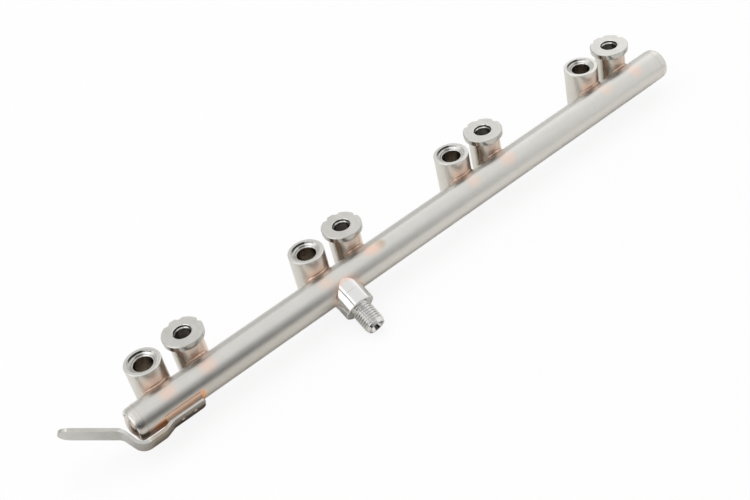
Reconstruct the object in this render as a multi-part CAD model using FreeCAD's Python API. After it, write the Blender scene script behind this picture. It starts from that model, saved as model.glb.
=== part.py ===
import FreeCAD, Part
import math
import os

# Brazed stainless fuel rail for a four-cylinder engine, in millimetres.
# Frame: the origin is on the axis of the first bolt hole, in the plane of the bolt-head seats.
# +X runs along the rail from the bracket end, +Z points the way the injector cups open,
# and the tube lies on the -Y side of the bolt row.

V = FreeCAD.Vector
X_AXIS = V(1, 0, 0)
Y_AXIS = V(0, 1, 0)
Z_AXIS = V(0, 0, 1)

# Rail tube and its end plugs
TUBE_OD = 16.0
TUBE_WALL = 1.5
TUBE_NEAR_OVERHANG = 14.4        # tube end to the first bolt axis
TUBE_FAR_OVERHANG = 15.1         # last cup axis to the other tube end
UNDERSIDE_RISE = 1.6             # tube underside above the bolt-head seats
PLUG_HEAD_LENGTH = 4.05
PLUG_HEAD_DROP = 0.1             # plug head radius under the tube radius
PLUG_SHOULDER = 0.9              # how much the head narrows to its rim
PLUG_SHOULDER_LENGTH = 1.65
PLUG_SHOULDER_BULGE = 0.15
PLUG_RIM_WIDTH = 1.1
PLUG_GROOVE_WIDTH = 0.35
PLUG_GROOVE_DEPTH = 0.5
PLUG_DOME_HEIGHT = 1.8
PLUG_SPIGOT_LENGTH = 6.0
PLUG_SPIGOT_CLEARANCE = 0.03
PLUG_CUP_WALL = 1.2

# Stations along the rail
CYLINDERS = 4
CYLINDER_PITCH = 88.0
CUP_STATION = 21.2               # cup axis after its bolt axis
INLET_STATION = 4.6              # inlet axis after the second bolt axis

# Mounting bosses, bored for M8 bolts
BOSS_OD = 16.8
BOSS_LENGTH = 25.0
BOSS_SADDLE = 3.3                # how deep the tube sits in the boss
BOSS_EDGE_RADIUS = 0.35
BOSS_FOOT_CHAMFER = 0.5
BOLT_HOLE_D = 9.1
RIM_WIDTH = 1.7                  # flat rim round the coned recess in the boss's end
RECESS_DEPTH = 1.45
RECESS_LAND_DEPTH = 0.75         # a narrow flat land part of the way down the cone
RECESS_LAND_WIDTH = 0.2
RECESS_UPPER_RUN = 0.9           # how far the cone comes in above the land
RECESS_FLOOR_WIDTH = 0.3
BOLT_HOLE_CHAMFER = 0.2

# Injector cups
CUP_STEM_OD = 15.2
CUP_LENGTH = 25.9
CUP_SADDLE = 2.0                 # how deep the tube sits in the cup stem
CUP_FOOT_CHAMFER = 0.6
FLANGE_OD = 19.0
FLANGE_THICKNESS = 3.0
FLANGE_EDGE = 0.35
FLANGE_UNDERCUT = 0.5            # corner radius under the flange
CUP_MOUTH_D = 8.4
CUP_MOUTH_DEPTH = 1.2
CUP_MOUTH_CHAMFER = 0.25
CUP_BORE_D = 7.5                 # a 45 degree lead leads into it from the mouth
CUP_BORE_DEPTH = 12.5
CUP_WELL_D = 5.0
CUP_WELL_FLOOR = 5.5             # metal left under the well
CUP_SEAT_ANGLE = 45.0            # half angle between the bore and the well
FEED_HOLE_D = 4.0
NOTCH_RADIUS = 1.7
NOTCH_DEPTH = 1.25
NOTCH_ANGLES = (7, 68, 107)

# Inlet fitting
INLET_DROOP = 25.0               # degrees under level, away from the cups
COLLAR_INSET = 0.35              # collar radius under the tube radius
COLLAR_LENGTH = 7.7              # from the tube's outside to the collar's end face
COLLAR_EDGE = 0.35
COLLAR_LAND = 0.9                # the braze land past the tube's outside, turned a little larger
INLET_STEP = 0.12
INLET_RELIEF_D = 8.3
INLET_RELIEF_LENGTH = 1.2
INLET_THREAD_D = 10.0            # M10 x 1.25
INLET_NOSE_LENGTH = 9.4          # from the collar's end face to the end of the thread
INLET_TIP_D = 8.5
INLET_TIP_LENGTH = 2.2
INLET_BORE_D = 3.6
INLET_CONE_D = 7.2
INLET_CONE_HALF_ANGLE = 30.0
THREAD_LEAD_CHAMFER = 0.5

# Stay bracket: one strip on edge, bent about the direction of its width
STRIP_THICKNESS = 1.5
STRIP_TILT = 26.0                # degrees that the strip's face looks under level
STRIP_TOP = 2.8                  # strip edges either side of the line where it meets the tube
STRIP_BOTTOM = 6.05
TONGUE_TOP = 3.5
TONGUE_BOTTOM = 7.2
TAB_REACH = 12.3                 # brazed tab end past the first bolt axis
TAB_LENGTH = 15.9
TAB_CORNER = 1.8
JOGGLE_RUN = 5.0
JOGGLE_STEP = 1.6
JOGGLE_RADIUS = 4.0
STRIP_END_CLEARANCE = 1.6        # plug rim to the strip that crosses it
FIRST_BEND_RADIUS = 5.2          # to the middle of the strip
SECOND_BEND_RADIUS = 6.0
CROSSING_LEAN = 15.8
CROSSING_LENGTH = 11.05
TONGUE_ANGLE = 37.8
TONGUE_LENGTH = 26.6
TONGUE_END_FLAT = 0.2            # straight left between the two end corners
WIDEN_START = 0.6                # strip starts to widen this far outside the front run
WIDEN_LENGTH = 9.0
WELD_DIMPLE_D = 2.2
WELD_DIMPLE_DEPTH = 0.35
WELD_DIMPLE_STATIONS = (5.1, 11.4)   # from the tab end
WELD_DIMPLE_DROP = 2.5

# Copper braze
BOSS_BRAZE_RADIUS = 0.85
CUP_BRAZE_RADIUS = 0.85
INLET_BRAZE_RADIUS = 0.7
BRAZE_BITE = 0.12                # how far the fillet's edges run under the steel before trimming
BRAZE_ROOT = 1.2
BRAZE_SECTIONS = 24
PLUG_BRAZE_LEG = 0.25
TAB_BRAZE_FILM = 0.08            # copper between the strip and the tube where they are closest
TAB_BRAZE_WETTING = 0.5          # how far it spreads over the strip's upper edge
TAB_BRAZE_CLIMB = 2.2            # how far up the tube it runs past that edge
TAB_BRAZE_HOLLOW = 0.08          # hollow of its face
TAB_BRAZE_LENGTH = 18.0
TAB_BRAZE_END_GAP = 0.3

TUBE_R = TUBE_OD / 2
BOSS_R = BOSS_OD / 2
STEM_R = CUP_STEM_OD / 2
COLLAR_R = TUBE_R - COLLAR_INSET
COLLAR_END = TUBE_R + COLLAR_LENGTH
COLLAR_LAND_END = TUBE_R + COLLAR_LAND
TUBE_Y = -(TUBE_R + BOSS_R - BOSS_SADDLE)
TUBE_Z = UNDERSIDE_RISE + TUBE_R
CUP_Y = TUBE_Y + TUBE_R + STEM_R - CUP_SADDLE
BOLT_X = [CYLINDER_PITCH * n for n in range(CYLINDERS)]
CUP_X = [x + CUP_STATION for x in BOLT_X]
INLET_X = BOLT_X[1] + INLET_STATION
TUBE_NEAR_X = -TUBE_NEAR_OVERHANG
TUBE_FAR_X = CUP_X[-1] + TUBE_FAR_OVERHANG
TUBE_MIDDLE = V(0, TUBE_Y, TUBE_Z)


def save(shape, node):
    """Write one sub-part under its node name."""
    shape.exportStep("parts/%s.step" % node)


def revolved(outline, base, axis):
    """Solid of revolution of an outline drawn in x (radius) and z (station along axis)."""
    solid = Part.Face(outline).revolve(V(0, 0, 0), Z_AXIS, 360)
    solid = Part.Solid(solid) if solid.ShapeType != "Solid" else solid
    solid.Placement = FreeCAD.Placement(base, FreeCAD.Rotation(Z_AXIS, axis))
    return solid


def turned(points, base, axis):
    """Solid of revolution from (radius, station) corners, along axis from base."""
    corners = [V(r, 0, s) for r, s in points]
    return revolved(Part.makePolygon(corners + corners[:1]), base, axis)


def one_solid(shape):
    """The single solid that a cut or join leaves."""
    solids = shape.Solids
    return max(solids, key=lambda s: s.Volume)


def tube_rod(radius):
    """A rod on the tube's axis, over the tube's full length."""
    length = TUBE_FAR_X - TUBE_NEAR_X
    return Part.makeCylinder(radius, length, V(TUBE_NEAR_X, TUBE_Y, TUBE_Z), X_AXIS)


def feed_drill(cup_x):
    """The cross drilling from a cup's well into the tube."""
    return Part.makeCylinder(FEED_HOLE_D / 2, CUP_Y - TUBE_Y, V(cup_x, TUBE_Y, TUBE_Z), Y_AXIS)


def inlet_axis():
    """Unit vector from the tube's axis out along the inlet."""
    droop = math.radians(INLET_DROOP)
    return V(0, -math.cos(droop), -math.sin(droop))


def inlet_base():
    return V(INLET_X, TUBE_Y, TUBE_Z)


def rail_tube():
    tube = tube_rod(TUBE_R).cut(tube_rod(TUBE_R - TUBE_WALL))
    for cup_x in CUP_X:
        tube = tube.cut(feed_drill(cup_x))
    inlet_drill = Part.makeCylinder(INLET_BORE_D / 2, TUBE_OD, inlet_base(), inlet_axis())
    return one_solid(tube.cut(inlet_drill))


def end_plug(end_x, outward):
    """Turned plug: a hollow spigot in the tube, a narrowing head and a domed middle."""
    spigot_r = TUBE_R - TUBE_WALL - PLUG_SPIGOT_CLEARANCE
    hollow_r = spigot_r - PLUG_CUP_WALL
    head_r = TUBE_R - PLUG_HEAD_DROP
    rim_r = head_r - PLUG_SHOULDER
    groove_r = rim_r - PLUG_RIM_WIDTH
    dome_r = groove_r - PLUG_GROOVE_WIDTH
    rim_s = PLUG_HEAD_LENGTH
    shoulder_s = rim_s - PLUG_SHOULDER_LENGTH
    groove_s = rim_s - PLUG_GROOVE_DEPTH
    crown_s = rim_s + PLUG_DOME_HEIGHT
    middle_r = (head_r + rim_r) / 2 + PLUG_SHOULDER_BULGE
    middle_s = (shoulder_s + rim_s) / 2
    # the dome is a sphere through its foot and its crown
    ball = (dome_r ** 2 + PLUG_DOME_HEIGHT ** 2) / (2 * PLUG_DOME_HEIGHT)
    haunch_r = dome_r / 2
    haunch_s = crown_s - ball + math.sqrt(ball ** 2 - haunch_r ** 2)
    edges = [
        Part.makeLine(V(0, 0, crown_s), V(0, 0, 0)),
        Part.makeLine(V(0, 0, 0), V(hollow_r, 0, 0)),
        Part.makeLine(V(hollow_r, 0, 0), V(hollow_r, 0, -PLUG_SPIGOT_LENGTH)),
        Part.makeLine(V(hollow_r, 0, -PLUG_SPIGOT_LENGTH), V(spigot_r, 0, -PLUG_SPIGOT_LENGTH)),
        Part.makeLine(V(spigot_r, 0, -PLUG_SPIGOT_LENGTH), V(spigot_r, 0, 0)),
        Part.makeLine(V(spigot_r, 0, 0), V(head_r, 0, 0)),
        Part.makeLine(V(head_r, 0, 0), V(head_r, 0, shoulder_s)),
        Part.Arc(V(head_r, 0, shoulder_s), V(middle_r, 0, middle_s), V(rim_r, 0, rim_s)).toShape(),
        Part.makeLine(V(rim_r, 0, rim_s), V(groove_r, 0, rim_s)),
        Part.makeLine(V(groove_r, 0, rim_s), V(groove_r, 0, groove_s)),
        Part.makeLine(V(groove_r, 0, groove_s), V(dome_r, 0, groove_s)),
        Part.makeLine(V(dome_r, 0, groove_s), V(dome_r, 0, rim_s)),
        Part.Arc(V(dome_r, 0, rim_s), V(haunch_r, 0, haunch_s), V(0, 0, crown_s)).toShape(),
    ]
    return revolved(Part.Wire(edges), V(end_x, TUBE_Y, TUBE_Z), V(outward, 0, 0))


def plug_braze(end_x, outward):
    """Copper ring in the corner between the tube's end and the smaller plug head."""
    head_r = TUBE_R - PLUG_HEAD_DROP
    return turned([
        (head_r, 0),
        (TUBE_R, 0),
        (head_r, PLUG_BRAZE_LEG),
    ], V(end_x, TUBE_Y, TUBE_Z), V(outward, 0, 0))


def mounting_boss(bolt_x):
    """Turned boss, hollowed to the tube's radius, with a coned recess in its end."""
    hole_r = BOLT_HOLE_D / 2
    mouth_r = BOSS_R - RIM_WIDTH
    land_r = mouth_r - RECESS_UPPER_RUN
    land_z = BOSS_LENGTH - RECESS_LAND_DEPTH
    floor_r = hole_r + BOLT_HOLE_CHAMFER + RECESS_FLOOR_WIDTH
    floor_z = BOSS_LENGTH - RECESS_DEPTH
    boss = turned([
        (hole_r, 0),
        (BOSS_R - BOSS_FOOT_CHAMFER, 0),
        (BOSS_R, BOSS_FOOT_CHAMFER),
        (BOSS_R, BOSS_LENGTH),
        (mouth_r, BOSS_LENGTH),
        (land_r, land_z),
        (land_r - RECESS_LAND_WIDTH, land_z),
        (floor_r, floor_z),
        (hole_r + BOLT_HOLE_CHAMFER, floor_z),
        (hole_r, floor_z - BOLT_HOLE_CHAMFER),
    ], V(bolt_x, 0, 0), Z_AXIS)
    rim = [
        e for e in boss.Edges
        if e.BoundBox.ZMin > BOSS_LENGTH - 1e-3 and abs(e.BoundBox.XLength - BOSS_OD) < 1e-2
    ]
    boss = boss.makeFillet(BOSS_EDGE_RADIUS, rim)
    return one_solid(boss.cut(tube_rod(TUBE_R)))


def cup_notches(cup_x):
    """Round-bottomed notches milled down through the flange's edge."""
    reach = FLANGE_OD / 2 - NOTCH_DEPTH + NOTCH_RADIUS
    floor_z = CUP_LENGTH - FLANGE_THICKNESS
    cutters = []
    for angle in NOTCH_ANGLES:
        turn = math.radians(angle)
        place = V(cup_x + reach * math.cos(turn), CUP_Y + reach * math.sin(turn), floor_z)
        cutters.append(Part.makeCylinder(NOTCH_RADIUS, 2 * FLANGE_THICKNESS, place, Z_AXIS))
    return cutters


def injector_cup(cup_x):
    """Turned cup with a notched clip flange, closed at the foot and hollowed to the tube."""
    mouth_r = CUP_MOUTH_D / 2
    bore_r = CUP_BORE_D / 2
    well_r = CUP_WELL_D / 2
    flange_r = FLANGE_OD / 2
    under_z = CUP_LENGTH - FLANGE_THICKNESS
    mouth_z = CUP_LENGTH - CUP_MOUTH_DEPTH
    bore_floor = CUP_LENGTH - CUP_BORE_DEPTH
    seat_drop = (bore_r - well_r) / math.tan(math.radians(CUP_SEAT_ANGLE))
    cup = turned([
        (0, 0),
        (STEM_R - CUP_FOOT_CHAMFER, 0),
        (STEM_R, CUP_FOOT_CHAMFER),
        (STEM_R, under_z - FLANGE_UNDERCUT),
        (STEM_R + FLANGE_UNDERCUT, under_z),
        (flange_r - FLANGE_EDGE, under_z),
        (flange_r, under_z + FLANGE_EDGE),
        (flange_r, CUP_LENGTH - FLANGE_EDGE),
        (flange_r - FLANGE_EDGE, CUP_LENGTH),
        (mouth_r + CUP_MOUTH_CHAMFER, CUP_LENGTH),
        (mouth_r, CUP_LENGTH - CUP_MOUTH_CHAMFER),
        (mouth_r, mouth_z),
        (bore_r, mouth_z - (mouth_r - bore_r)),
        (bore_r, bore_floor),
        (well_r, bore_floor - seat_drop),
        (well_r, CUP_WELL_FLOOR),
        (0, CUP_WELL_FLOOR),
    ], V(cup_x, CUP_Y, 0), Z_AXIS)
    cup = cup.cut(cup_notches(cup_x))
    cup = cup.cut(tube_rod(TUBE_R))
    return one_solid(cup.cut(feed_drill(cup_x)))


def inlet_fitting():
    """Turned fitting: collar saddled on the tube, threaded nose and a coned mouth."""
    bore_r = INLET_BORE_D / 2
    cone_r = INLET_CONE_D / 2
    thread_r = INLET_THREAD_D / 2
    relief_r = INLET_RELIEF_D / 2
    thread_start = COLLAR_END + INLET_RELIEF_LENGTH
    thread_end = COLLAR_END + INLET_NOSE_LENGTH
    tip_end = thread_end + INLET_TIP_LENGTH
    cone_floor = tip_end - (cone_r - bore_r) / math.tan(math.radians(INLET_CONE_HALF_ANGLE))
    fitting = turned([
        (bore_r, 0),
        (COLLAR_R + INLET_STEP, 0),
        (COLLAR_R + INLET_STEP, COLLAR_LAND_END - INLET_STEP),
        (COLLAR_R, COLLAR_LAND_END),
        (COLLAR_R, COLLAR_END - COLLAR_EDGE),
        (COLLAR_R - COLLAR_EDGE, COLLAR_END),
        (relief_r, COLLAR_END),
        (relief_r, thread_start),
        (thread_r - THREAD_LEAD_CHAMFER, thread_start),
        (thread_r, thread_start + THREAD_LEAD_CHAMFER),
        (thread_r, thread_end),
        (INLET_TIP_D / 2, tip_end),
        (cone_r, tip_end),
        (bore_r, cone_floor),
    ], inlet_base(), inlet_axis())
    return one_solid(fitting.cut(tube_rod(TUBE_R)))


def fillet_section(centre, radius, rod_base, rod_axis, rod_r):
    """Section of the copper where a ball of this radius touches the tube and the rod.

    Its face is a parabola through the point of the ball nearest to the joint's corner.
    """
    tube_line = V(centre.x, TUBE_Y, TUBE_Z)
    rod_line = rod_base + rod_axis * (centre - rod_base).dot(rod_axis)
    to_tube = (tube_line - centre).normalize()
    to_rod = (rod_line - centre).normalize()
    inward = (to_tube + to_rod).normalize()
    on_tube = tube_line - to_tube * (TUBE_R - BRAZE_BITE)
    on_rod = rod_line - to_rod * (rod_r - BRAZE_BITE)
    nearest = centre + inward * radius
    root = nearest + inward * BRAZE_ROOT
    face = Part.BezierCurve()
    face.setPoles([on_tube, nearest * 2 - (on_tube + on_rod) * 0.5, on_rod])
    return Part.Wire([face.toShape(), Part.makeLine(on_rod, root), Part.makeLine(root, on_tube)])


def braze_ring(centres, radius, rod_base, rod_axis, rod_r, rod_length):
    """Copper fillet swept round a joint, with the tube and the rod taken out of it."""
    sections = [fillet_section(c, radius, rod_base, rod_axis, rod_r) for c in centres]
    ring = Part.makeLoft(sections, True, False, True)
    rod = Part.makeCylinder(rod_r, rod_length, rod_base, rod_axis)
    return one_solid(ring.cut(tube_rod(TUBE_R)).cut(rod))


def turns():
    return [2 * math.pi * n / BRAZE_SECTIONS for n in range(BRAZE_SECTIONS)]


def side_braze(rod_x, rod_y, rod_r, rod_length, radius):
    """Braze round a rod that stands upright beside the tube and is saddled on it.

    The ball's centre lies on both cylinders grown by its radius. Between the line's two
    turning points in y, at sin = 0 and at sin = 1, both of their equations factor.
    """
    grown_tube = TUBE_R + radius
    grown_rod = rod_r + radius
    spacing = rod_y - TUBE_Y
    span = grown_tube + grown_rod - spacing
    centres = []
    for turn in turns():
        y = span * math.sin(turn) ** 2 - grown_rod
        x = math.sin(turn) * math.sqrt(span * (grown_rod - y))
        z = math.cos(turn) * math.sqrt(span * (grown_tube + spacing + y))
        centres.append(V(rod_x + x, rod_y + y, TUBE_Z + z))
    return braze_ring(centres, radius, V(rod_x, rod_y, 0), Z_AXIS, rod_r, rod_length)


def inlet_braze():
    """Braze round the inlet's collar, whose axis meets the tube's axis squarely."""
    rod_r = COLLAR_R + INLET_STEP
    grown_tube = TUBE_R + INLET_BRAZE_RADIUS
    grown_rod = rod_r + INLET_BRAZE_RADIUS
    across = X_AXIS.cross(inlet_axis())
    centres = []
    for turn in turns():
        aside = grown_rod * math.sin(turn)
        out = math.sqrt(grown_tube ** 2 - aside ** 2)
        along = X_AXIS * (grown_rod * math.cos(turn))
        centres.append(inlet_base() + along + across * aside + inlet_axis() * out)
    return braze_ring(centres, INLET_BRAZE_RADIUS, inlet_base(), inlet_axis(), rod_r, COLLAR_END)


def strip_corners():
    """The corners of the strip's middle line, as (x, y), before the strip is tilted.

    The tube's axis is the origin here, and the strip lies on the tube's -Y side.
    """
    tab_y = -(TUBE_R + TAB_BRAZE_FILM + STRIP_THICKNESS / 2)
    front_y = tab_y - JOGGLE_STEP
    tab_x = TAB_REACH - TAB_LENGTH
    lean = math.radians(CROSSING_LEAN)
    swing = math.radians(TONGUE_ANGLE)
    # where the crossing's middle line passes the plug head's front edge
    past_plug = STRIP_END_CLEARANCE + STRIP_THICKNESS / 2 / math.cos(lean)
    plug_x = TUBE_NEAR_X - PLUG_HEAD_LENGTH - past_plug
    bend_x = plug_x + (-front_y - TUBE_R) * math.tan(lean)
    cross_x = bend_x - CROSSING_LENGTH * math.sin(lean)
    cross_y = front_y + CROSSING_LENGTH * math.cos(lean)
    return [
        V(TAB_REACH, tab_y, 0),
        V(tab_x, tab_y, 0),
        V(tab_x - JOGGLE_RUN, front_y, 0),
        V(bend_x, front_y, 0),
        V(cross_x, cross_y, 0),
        V(cross_x - TONGUE_LENGTH * math.cos(swing), cross_y + TONGUE_LENGTH * math.sin(swing), 0),
    ]


def bent_line(corners, radii, offset):
    """Edges of straight runs and tangent bends, offset to the left of the corners' line."""
    edges = []
    way = (corners[1] - corners[0]).normalize()
    at = corners[0] + Z_AXIS.cross(way) * offset
    for k in range(1, len(corners) - 1):
        back = (corners[k - 1] - corners[k]).normalize()
        ahead = (corners[k + 1] - corners[k]).normalize()
        half = back.getAngle(ahead) / 2
        inward = (back + ahead).normalize()
        centre = corners[k] + inward * (radii[k - 1] / math.sin(half))
        turns_left = ahead.cross(back).z > 0
        radius = radii[k - 1] - offset if turns_left else radii[k - 1] + offset
        tangent = radii[k - 1] / math.tan(half)
        start = centre + (corners[k] + back * tangent - centre).normalize() * radius
        finish = centre + (corners[k] + ahead * tangent - centre).normalize() * radius
        edges.append(Part.makeLine(at, start))
        edges.append(Part.Arc(start, centre - inward * radius, finish).toShape())
        at = finish
    way = (corners[-1] - corners[-2]).normalize()
    edges.append(Part.makeLine(at, corners[-1] + Z_AXIS.cross(way) * offset))
    return edges


def end_corners(strip, end):
    """The short edges through the strip's thickness at one end of its middle line."""
    return [
        e for e in strip.Edges
        if math.hypot(e.CenterOfMass.x - end.x, e.CenterOfMass.y - end.y) < 1e-3
        and e.BoundBox.ZLength < 1e-3
    ]


def tilted(shape):
    """Turn a shape drawn about the tube's axis onto the strip's own slope."""
    shape.Placement = FreeCAD.Placement(TUBE_MIDDLE, FreeCAD.Rotation(X_AXIS, STRIP_TILT))
    return shape


def stay_bracket():
    """The stay: a strip bent about its width, brazed to the tube's lower front side."""
    corners = strip_corners()
    radii = (JOGGLE_RADIUS, JOGGLE_RADIUS, FIRST_BEND_RADIUS, SECOND_BEND_RADIUS)
    left = bent_line(corners, radii, STRIP_THICKNESS / 2)
    right = bent_line(corners, radii, -STRIP_THICKNESS / 2)
    ends = [
        Part.makeLine(left[0].Vertexes[0].Point, right[0].Vertexes[0].Point),
        Part.makeLine(left[-1].Vertexes[-1].Point, right[-1].Vertexes[-1].Point),
    ]
    outline = Part.Wire(Part.__sortEdges__(left + right + ends))
    height = TONGUE_TOP + TONGUE_BOTTOM
    strip = Part.Face(outline).extrude(Z_AXIS * height)
    strip.translate(Z_AXIS * -TONGUE_BOTTOM)
    front = strip.BoundBox.YMin - 1
    back = strip.BoundBox.YMax + 1
    widen_from = -TUBE_R + WIDEN_START
    widen_to = widen_from + WIDEN_LENGTH
    side = Part.makePolygon([
        V(0, front, STRIP_TOP),
        V(0, widen_from, STRIP_TOP),
        V(0, widen_to, TONGUE_TOP),
        V(0, back, TONGUE_TOP),
        V(0, back, -TONGUE_BOTTOM),
        V(0, widen_to, -TONGUE_BOTTOM),
        V(0, widen_from, -STRIP_BOTTOM),
        V(0, front, -STRIP_BOTTOM),
        V(0, front, STRIP_TOP),
    ])
    envelope = Part.Face(side).extrude(X_AXIS * (strip.BoundBox.XLength + 2))
    envelope.translate(X_AXIS * (strip.BoundBox.XMin - 1))
    strip = one_solid(strip.common(envelope))
    strip = strip.makeFillet(TAB_CORNER, end_corners(strip, corners[0]))
    strip = strip.makeFillet((height - TONGUE_END_FLAT) / 2, end_corners(strip, corners[-1]))
    ball = (WELD_DIMPLE_D ** 2 / 4 + WELD_DIMPLE_DEPTH ** 2) / (2 * WELD_DIMPLE_DEPTH)
    ball_y = corners[0].y - STRIP_THICKNESS / 2 - ball + WELD_DIMPLE_DEPTH
    for station in WELD_DIMPLE_STATIONS:
        strip = strip.cut(Part.makeSphere(ball, V(TAB_REACH - station, ball_y, -WELD_DIMPLE_DROP)))
    return tilted(one_solid(strip))


def bracket_braze():
    """Copper that fills the wedge between the strip and the tube and climbs the tube."""
    climb = STRIP_TOP + TAB_BRAZE_CLIMB
    strip_y = -(TUBE_R + TAB_BRAZE_FILM)
    on_strip = V(0, strip_y - TAB_BRAZE_WETTING, STRIP_TOP)
    on_tube = V(0, -math.sqrt(TUBE_R ** 2 - climb ** 2), climb)
    chord = on_tube - on_strip
    hollow = on_strip + chord * 0.5 + chord.cross(X_AXIS).normalize() * TAB_BRAZE_HOLLOW
    corner = V(0, strip_y, STRIP_TOP)
    low = V(0, strip_y, TAB_CORNER - STRIP_BOTTOM)
    foot = V(0, -math.sqrt(TUBE_R ** 2 - low.z ** 2), low.z)
    edges = [
        Part.Arc(on_strip, hollow, on_tube).toShape(),
        Part.Arc(on_tube, V(0, -TUBE_R, 0), foot).toShape(),
        Part.makeLine(foot, low),
        Part.makeLine(low, corner),
        Part.makeLine(corner, on_strip),
    ]
    wedge = Part.Face(Part.Wire(Part.__sortEdges__(edges)))
    wedge.translate(X_AXIS * (TAB_REACH - TAB_BRAZE_END_GAP - TAB_BRAZE_LENGTH))
    return tilted(wedge.extrude(X_AXIS * TAB_BRAZE_LENGTH))


os.makedirs("parts", exist_ok=True)
save(rail_tube(), "rail_tube")
save(end_plug(TUBE_NEAR_X, -1), "near_end_plug")
save(end_plug(TUBE_FAR_X, 1), "far_end_plug")
save(plug_braze(TUBE_NEAR_X, -1), "near_plug_braze")
save(plug_braze(TUBE_FAR_X, 1), "far_plug_braze")
for n in range(CYLINDERS):
    save(mounting_boss(BOLT_X[n]), "mounting_boss_%d" % (n + 1))
    boss_braze = side_braze(BOLT_X[n], 0, BOSS_R, BOSS_LENGTH, BOSS_BRAZE_RADIUS)
    save(boss_braze, "boss_braze_%d" % (n + 1))
    save(injector_cup(CUP_X[n]), "injector_cup_%d" % (n + 1))
    cup_braze = side_braze(CUP_X[n], CUP_Y, STEM_R, CUP_LENGTH, CUP_BRAZE_RADIUS)
    save(cup_braze, "cup_braze_%d" % (n + 1))
save(inlet_fitting(), "inlet_fitting")
save(inlet_braze(), "inlet_braze")
save(stay_bracket(), "stay_bracket")
save(bracket_braze(), "bracket_braze")
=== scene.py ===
import math

import bpy
import numpy as np
from mathutils import Matrix, Vector


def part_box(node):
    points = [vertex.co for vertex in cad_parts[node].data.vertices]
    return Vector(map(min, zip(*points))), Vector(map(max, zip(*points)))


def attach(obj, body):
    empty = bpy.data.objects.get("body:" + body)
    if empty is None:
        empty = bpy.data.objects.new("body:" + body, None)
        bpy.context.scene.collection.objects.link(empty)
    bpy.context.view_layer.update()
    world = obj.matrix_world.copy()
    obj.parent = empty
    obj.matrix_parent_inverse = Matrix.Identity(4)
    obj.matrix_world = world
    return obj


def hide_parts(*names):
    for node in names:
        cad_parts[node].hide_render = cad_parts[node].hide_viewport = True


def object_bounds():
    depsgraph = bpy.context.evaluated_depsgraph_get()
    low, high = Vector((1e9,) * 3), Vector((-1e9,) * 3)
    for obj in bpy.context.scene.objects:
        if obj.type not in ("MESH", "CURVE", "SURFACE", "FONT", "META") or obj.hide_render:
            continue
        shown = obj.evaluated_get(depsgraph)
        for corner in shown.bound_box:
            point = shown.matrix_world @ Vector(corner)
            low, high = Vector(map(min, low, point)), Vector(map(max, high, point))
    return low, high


# The fuel rail's looks, in the frame of the CAD part: the origin is on the first bolt axis in
# the plane of the bolt-head seats, +X runs along the rail and +Z is the way the injector cups
# open. Sizes on the part are in millimetres, and MM brings them to the scene's metres.

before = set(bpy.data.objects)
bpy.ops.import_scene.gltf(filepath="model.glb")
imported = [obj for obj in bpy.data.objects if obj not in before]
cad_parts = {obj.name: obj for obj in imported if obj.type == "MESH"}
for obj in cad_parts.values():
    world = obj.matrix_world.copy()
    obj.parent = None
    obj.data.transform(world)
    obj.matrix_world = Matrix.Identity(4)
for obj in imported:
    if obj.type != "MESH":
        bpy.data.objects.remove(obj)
cad_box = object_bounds()
MM = 0.001


def middle(node):
    """The middle of a node's box."""
    low, high = (np.array(corner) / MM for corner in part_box(node))
    return (low + high) / 2


def spread(node):
    """The sides of a node's box."""
    low, high = (np.array(corner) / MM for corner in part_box(node))
    return high - low


# Places and sizes that the finishes follow, read from the frame
TUBE_MIDDLE = middle("rail_tube")
TUBE_R = spread("rail_tube")[1] / 2
TUBE_NEAR_X, TUBE_FAR_X = (float(corner[0] / MM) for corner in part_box("rail_tube"))
BOSS_MIDDLE = middle("mounting_boss_1")
BOSS_R = spread("mounting_boss_1")[0] / 2
BOSS_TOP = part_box("mounting_boss_1")[1][2] / MM
PITCH = middle("mounting_boss_2")[0] - BOSS_MIDDLE[0]
CUP_MIDDLE = middle("injector_cup_1")
CUP_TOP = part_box("injector_cup_1")[1][2] / MM
FLANGE_R = spread("injector_cup_1")[0] / 2
INLET_BASE = np.array([middle("inlet_fitting")[0], TUBE_MIDDLE[1], TUBE_MIDDLE[2]])

# The bosses' and the cups' turned steps
BOLT_HOLE_R = 4.55
RECESS_R = 6.7
RECESS_LAND_R = 5.7
CUP_MOUTH_R = 4.2
CUP_WELL_R = 2.5
FLANGE_BOTTOM = CUP_TOP - 3.0
NOTCH_DEPTH = 1.25

# Headings about a boss's or a cup's axis, in degrees from +X to +Y
BOSS_COPPER_SIDE = -70.0
CUP_COPPER_SIDE = -55.0
# Where the recess and the seat get painted shade and a painted highlight
RECESS_FAR_SIDE = 78.0
RECESS_PAINTED_GLINT_SIDE = 42.0
RECESS_PAINTED_SHADE_SIDE = 165.0
SEAT_PAINTED_LIT_SIDE = 62.0

# The inlet fitting, whose stations are counted from the tube's axis
INLET_DROOP = math.radians(25.0)
INLET_OUT = np.array([0.0, -math.cos(INLET_DROOP), -math.sin(INLET_DROOP)])
INLET_BORE_R = 1.8
INLET_CONE_R = 3.6
INLET_CONE_SLOPE = math.radians(30.0)
COLLAR_R = TUBE_R - 0.35
COLLAR_END = TUBE_R + 7.7
COLLAR_EDGE = 0.35
STEP_END = TUBE_R + 0.9
STEP_RISE = 0.12
RELIEF_R = 4.15
RELIEF_END = COLLAR_END + 1.2
RELIEF_FILLET = 0.25
THREAD_R = 5.0
THREAD_PITCH = 1.25
THREAD_DEPTH = 0.74
THREAD_CREST = 0.12
THREAD_FLANK = 0.76
THREAD_ROUNDING = 0.06
THREAD_END = COLLAR_END + 9.4
THREAD_LEAD = 0.5
THREAD_RUNOUT = 0.9
TIP_R = 4.25
TIP_END = THREAD_END + 2.2
AROUND = 128
ROWS_A_PITCH = 26
ROWS_IN_SADDLE = 8
SHARP_EDGE = math.radians(28)

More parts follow.
